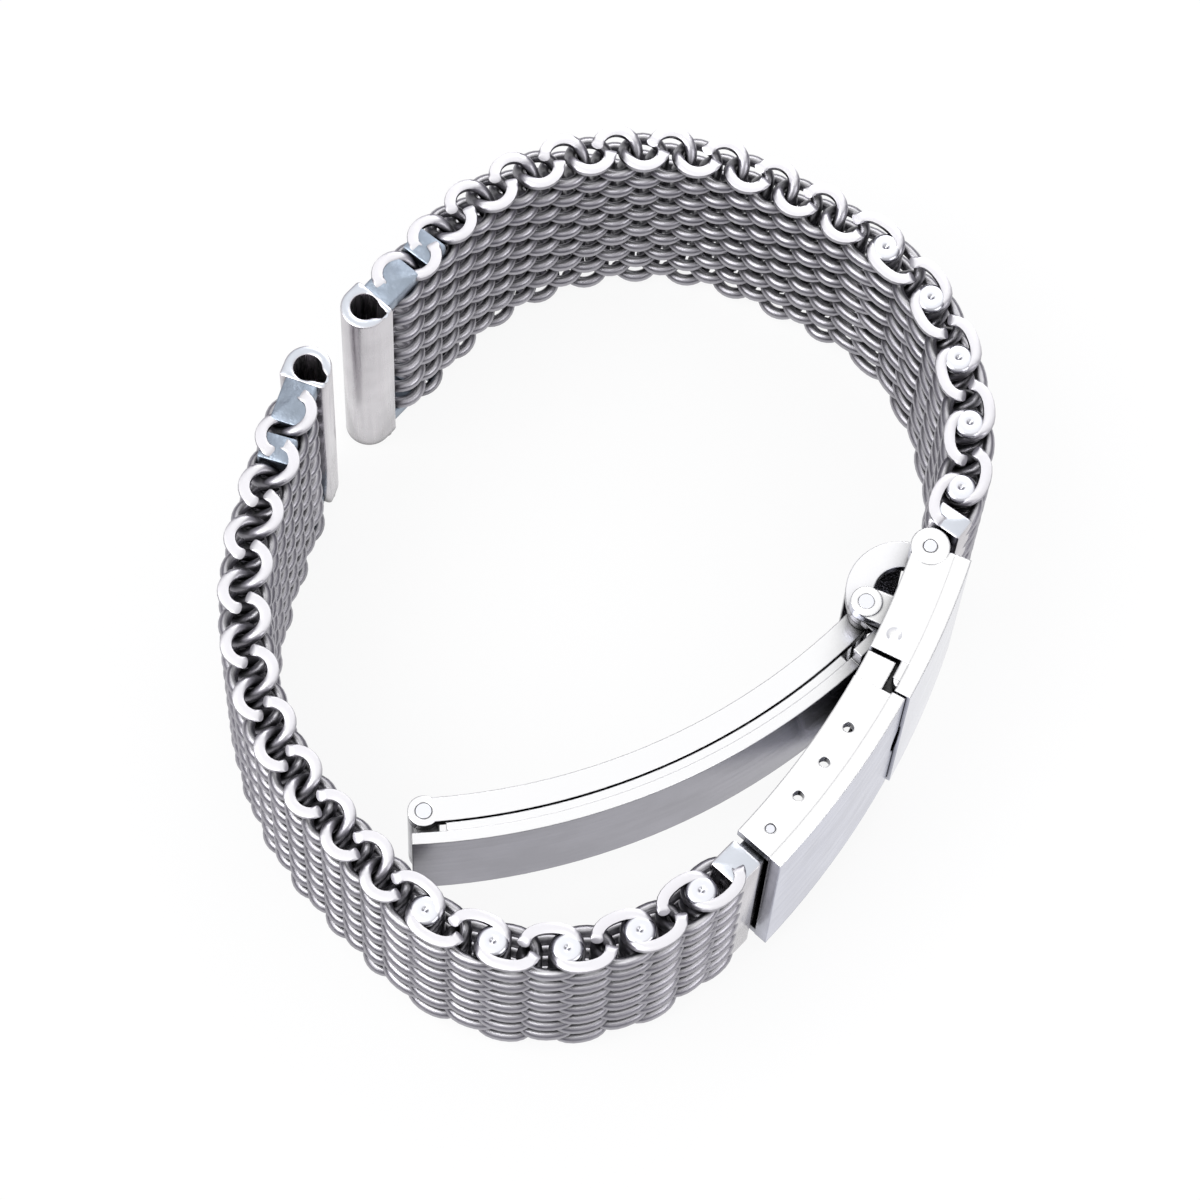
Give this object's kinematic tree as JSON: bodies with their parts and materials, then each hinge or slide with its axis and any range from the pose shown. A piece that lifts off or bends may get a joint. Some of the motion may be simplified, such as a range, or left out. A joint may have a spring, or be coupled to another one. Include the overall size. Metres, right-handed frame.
{
  "type": "link watch bracelet",
  "caption": "Woven coil link watch bracelet with removable pinned links and a curved folding clasp with a flip lock, standing on its side edge.",
  "frame": {"origin": "centre of the bracelet's bounding box at the side edge that it stands on", "axes": "+Z along the band's width, across the link pins; -Y towards the picture's camera; +X towards the clasp"},
  "size_m": [0.0574, 0.069, 0.022],
  "materials": {
    "cover_steel": "satin brushed stainless steel",
    "polished_steel": "polished stainless steel",
    "mesh_wire": "satin steel wire with ground edges",
    "blade_steel": "satin stamped steel sheet",
    "brazed_end": "brazed and polished steel",
    "pin_steel": "hard steel pins"
  },
  "bodies": {
    "cover": {"clasp_cover": "cover_steel", "flip_lock_pins": "pin_steel", "spring_bar_tube": "pin_steel", "spring_bar_tips": "pin_steel", "cover_pivot_pins": "pin_steel"},
    "lock": {"flip_lock": "polished_steel"},
    "outer_blade": {"blade_outer": "blade_steel", "fold_pin": "pin_steel"},
    "inner_blade": {"blade_inner": "blade_steel", "latch_pin": "pin_steel"},
    "extension": {"extension_link": "blade_steel", "band_pin": "pin_steel"},
    "end_link_12_body": {"end_link_12": "brazed_end"},
    "link_12_1_body": {"link_12_1": "mesh_wire", "link_pin_12_1": "pin_steel"},
    "link_12_2_body": {"link_12_2": "mesh_wire", "link_pin_12_2": "pin_steel"},
    "link_12_3_body": {"link_12_3": "mesh_wire", "link_pin_12_3": "pin_steel"},
    "link_12_4_body": {"link_12_4": "mesh_wire", "link_pin_12_4": "pin_steel"},
    "mesh_12_1_body": {"mesh_12_1": "mesh_wire", "link_pin_12_5": "pin_steel"},
    "mesh_12_2_body": {"mesh_12_2": "mesh_wire"},
    "mesh_12_3_body": {"mesh_12_3": "mesh_wire"},
    "mesh_12_4_body": {"mesh_12_4": "mesh_wire"},
    "mesh_12_5_body": {"mesh_12_5": "mesh_wire"},
    "mesh_12_6_body": {"mesh_12_6": "mesh_wire"},
    "mesh_12_7_body": {"mesh_12_7": "mesh_wire"},
    "mesh_12_8_body": {"mesh_12_8": "mesh_wire"},
    "mesh_12_9_body": {"mesh_12_9": "mesh_wire"},
    "mesh_12_10_body": {"mesh_12_10": "mesh_wire"},
    "lug_12_body": {"lug_end_12": "brazed_end"},
    "end_link_6_body": {"end_link_6": "brazed_end"},
    "link_6_1_body": {"link_6_1": "mesh_wire", "link_pin_6_1": "pin_steel"},
    "link_6_2_body": {"link_6_2": "mesh_wire", "link_pin_6_2": "pin_steel"},
    "link_6_3_body": {"link_6_3": "mesh_wire", "link_pin_6_3": "pin_steel"},
    "link_6_4_body": {"link_6_4": "mesh_wire", "link_pin_6_4": "pin_steel"},
    "mesh_6_1_body": {"mesh_6_1": "mesh_wire", "link_pin_6_5": "pin_steel"},
    "mesh_6_2_body": {"mesh_6_2": "mesh_wire"},
    "mesh_6_3_body": {"mesh_6_3": "mesh_wire"},
    "mesh_6_4_body": {"mesh_6_4": "mesh_wire"},
    "mesh_6_5_body": {"mesh_6_5": "mesh_wire"},
    "mesh_6_6_body": {"mesh_6_6": "mesh_wire"},
    "mesh_6_7_body": {"mesh_6_7": "mesh_wire"},
    "mesh_6_8_body": {"mesh_6_8": "mesh_wire"},
    "mesh_6_9_body": {"mesh_6_9": "mesh_wire"},
    "mesh_6_10_body": {"mesh_6_10": "mesh_wire"},
    "lug_6_body": {"lug_end_6": "brazed_end"}
  },
  "joints": [
    {"name": "flip_lock_hinge", "type": "hinge", "parent": "cover", "child": "lock", "pos_m": [0.02412, 0.00134, 0.011], "axis": [0, 0, 1], "range_deg": [0, 30]},
    {"name": "cover_pivot", "type": "hinge", "parent": "cover", "child": "outer_blade", "pos_m": [0.01961, -0.00308, 0.011], "axis": [0, 0, -1], "range_deg": [0, 90]},
    {"name": "blade_fold", "type": "hinge", "parent": "outer_blade", "child": "inner_blade", "pos_m": [-0.01209, -0.02138, 0.011], "axis": [0, 0, 1], "range_deg": [0, 90]},
    {"name": "extension_pivot", "type": "hinge", "parent": "inner_blade", "child": "extension", "pos_m": [0.01961, -0.00308, 0.011], "axis": [0, 0, 1], "range_deg": [0, 2]},
    {"name": "end_link_12_hinge", "type": "hinge", "parent": "extension", "child": "end_link_12_body", "pos_m": [0.02412, 0.00134, 0.011], "axis": [0, 0, 1], "range_deg": [-2, 2]},
    {"name": "link_12_1_hinge", "type": "hinge", "parent": "end_link_12_body", "child": "link_12_1_body", "pos_m": [0.02622, 0.00635, 0.011], "axis": [0, 0, 1], "range_deg": [-15, 2.4]},
    {"name": "link_12_2_hinge", "type": "hinge", "parent": "link_12_1_body", "child": "link_12_2_body", "pos_m": [0.02664, 0.01177, 0.011], "axis": [0, 0, 1], "range_deg": [-15, 2.8]},
    {"name": "link_12_3_hinge", "type": "hinge", "parent": "link_12_2_body", "child": "link_12_3_body", "pos_m": [0.02555, 0.0171, 0.011], "axis": [0, 0, 1], "range_deg": [-15, 8.4]},
    {"name": "link_12_4_hinge", "type": "hinge", "parent": "link_12_3_body", "child": "link_12_4_body", "pos_m": [0.02322, 0.02202, 0.011], "axis": [0, 0, 1], "range_deg": [-15, 8.4]},
    {"name": "mesh_12_1_hinge", "type": "hinge", "parent": "link_12_4_body", "child": "mesh_12_1_body", "pos_m": [0.01953, 0.02602, 0.011], "axis": [0, 0, 1], "range_deg": [-15, 8.4]},
    {"name": "mesh_12_2_hinge", "type": "hinge", "parent": "mesh_12_1_body", "child": "mesh_12_2_body", "pos_m": [0.01537, 0.02846, 0.011], "axis": [0, 0, 1], "range_deg": [-9, 4.9]},
    {"name": "mesh_12_3_hinge", "type": "hinge", "parent": "mesh_12_2_body", "child": "mesh_12_3_body", "pos_m": [0.01158, 0.03026, 0.011], "axis": [0, 0, 1], "range_deg": [-9, 4.9]},
    {"name": "mesh_12_4_hinge", "type": "hinge", "parent": "mesh_12_3_body", "child": "mesh_12_4_body", "pos_m": [0.00766, 0.03176, 0.011], "axis": [0, 0, 1], "range_deg": [-9, 4.9]},
    {"name": "mesh_12_5_hinge", "type": "hinge", "parent": "mesh_12_4_body", "child": "mesh_12_5_body", "pos_m": [0.00353, 0.03249, 0.011], "axis": [0, 0, 1], "range_deg": [-9, 4.9]},
    {"name": "mesh_12_6_hinge", "type": "hinge", "parent": "mesh_12_5_body", "child": "mesh_12_6_body", "pos_m": [-0.00066, 0.03235, 0.011], "axis": [0, 0, 1], "range_deg": [-9, 4.9]},
    {"name": "mesh_12_7_hinge", "type": "hinge", "parent": "mesh_12_6_body", "child": "mesh_12_7_body", "pos_m": [-0.00473, 0.03135, 0.011], "axis": [0, 0, 1], "range_deg": [-9, 4.9]},
    {"name": "mesh_12_8_hinge", "type": "hinge", "parent": "mesh_12_7_body", "child": "mesh_12_8_body", "pos_m": [-0.00851, 0.02954, 0.011], "axis": [0, 0, 1], "range_deg": [-9, 4.9]},
    {"name": "mesh_12_9_hinge", "type": "hinge", "parent": "mesh_12_8_body", "child": "mesh_12_9_body", "pos_m": [-0.01184, 0.02699, 0.011], "axis": [0, 0, 1], "range_deg": [-9, 4.9]},
    {"name": "mesh_12_10_hinge", "type": "hinge", "parent": "mesh_12_9_body", "child": "mesh_12_10_body", "pos_m": [-0.01457, 0.02381, 0.011], "axis": [0, 0, 1], "range_deg": [-9, 4.9]},
    {"name": "lug_12_hinge", "type": "hinge", "parent": "mesh_12_10_body", "child": "lug_12_body", "pos_m": [-0.01697, 0.02036, 0.011], "axis": [0, 0, 1], "range_deg": [-9, 4.9]},
    {"name": "end_link_6_hinge", "type": "hinge", "parent": "cover", "child": "end_link_6_body", "pos_m": [0.01346, -0.02202, 0.011], "axis": [0, 0, 1], "range_deg": [-0.4, 10]},
    {"name": "link_6_1_hinge", "type": "hinge", "parent": "end_link_6_body", "child": "link_6_1_body", "pos_m": [0.00874, -0.02718, 0.011], "axis": [0, 0, 1], "range_deg": [-0.4, 15]},
    {"name": "link_6_2_hinge", "type": "hinge", "parent": "link_6_1_body", "child": "link_6_2_body", "pos_m": [0.00447, -0.03056, 0.011], "axis": [0, 0, 1], "range_deg": [-0.4, 15]},
    {"name": "link_6_3_hinge", "type": "hinge", "parent": "link_6_2_body", "child": "link_6_3_body", "pos_m": [-0.00066, -0.03234, 0.011], "axis": [0, 0, 1], "range_deg": [-0.6, 15]},
    {"name": "link_6_4_hinge", "type": "hinge", "parent": "link_6_3_body", "child": "link_6_4_body", "pos_m": [-0.00609, -0.03226, 0.011], "axis": [0, 0, 1], "range_deg": [-0.8, 15]},
    {"name": "mesh_6_1_hinge", "type": "hinge", "parent": "link_6_4_body", "child": "mesh_6_1_body", "pos_m": [-0.01116, -0.03031, 0.011], "axis": [0, 0, 1], "range_deg": [-1.8, 15]},
    {"name": "mesh_6_2_hinge", "type": "hinge", "parent": "mesh_6_1_body", "child": "mesh_6_2_body", "pos_m": [-0.01498, -0.02736, 0.011], "axis": [0, 0, 1], "range_deg": [-1.1, 9]},
    {"name": "mesh_6_3_hinge", "type": "hinge", "parent": "mesh_6_2_body", "child": "mesh_6_3_body", "pos_m": [-0.01806, -0.02451, 0.011], "axis": [0, 0, 1], "range_deg": [-1.1, 9]},
    {"name": "mesh_6_4_hinge", "type": "hinge", "parent": "mesh_6_3_body", "child": "mesh_6_4_body", "pos_m": [-0.02094, -0.02145, 0.011], "axis": [0, 0, 1], "range_deg": [-1.1, 9]},
    {"name": "mesh_6_5_hinge", "type": "hinge", "parent": "mesh_6_4_body", "child": "mesh_6_5_body", "pos_m": [-0.02332, -0.018, 0.011], "axis": [0, 0, 1], "range_deg": [-1.1, 9]},
    {"name": "mesh_6_6_hinge", "type": "hinge", "parent": "mesh_6_5_body", "child": "mesh_6_6_body", "pos_m": [-0.02511, -0.0142, 0.011], "axis": [0, 0, 1], "range_deg": [-1.1, 9]},
    {"name": "mesh_6_7_hinge", "type": "hinge", "parent": "mesh_6_6_body", "child": "mesh_6_7_body", "pos_m": [-0.02624, -0.01017, 0.011], "axis": [0, 0, 1], "range_deg": [-1.1, 9]},
    {"name": "mesh_6_8_hinge", "type": "hinge", "parent": "mesh_6_7_body", "child": "mesh_6_8_body", "pos_m": [-0.0267, -0.006, 0.011], "axis": [0, 0, 1], "range_deg": [-1.1, 9]},
    {"name": "mesh_6_9_hinge", "type": "hinge", "parent": "mesh_6_8_body", "child": "mesh_6_9_body", "pos_m": [-0.02647, -0.00181, 0.011], "axis": [0, 0, 1], "range_deg": [-1.1, 9]},
    {"name": "mesh_6_10_hinge", "type": "hinge", "parent": "mesh_6_9_body", "child": "mesh_6_10_body", "pos_m": [-0.02572, 0.00233, 0.011], "axis": [0, 0, 1], "range_deg": [-1.1, 9]},
    {"name": "lug_6_hinge", "type": "hinge", "parent": "mesh_6_10_body", "child": "lug_6_body", "pos_m": [-0.02483, 0.00643, 0.011], "axis": [0, 0, 1], "range_deg": [-1.1, 9]}
  ],
  "couplings": [
    {"joint": "blade_fold", "follows": "cover_pivot", "ratio": 1}
  ]
}
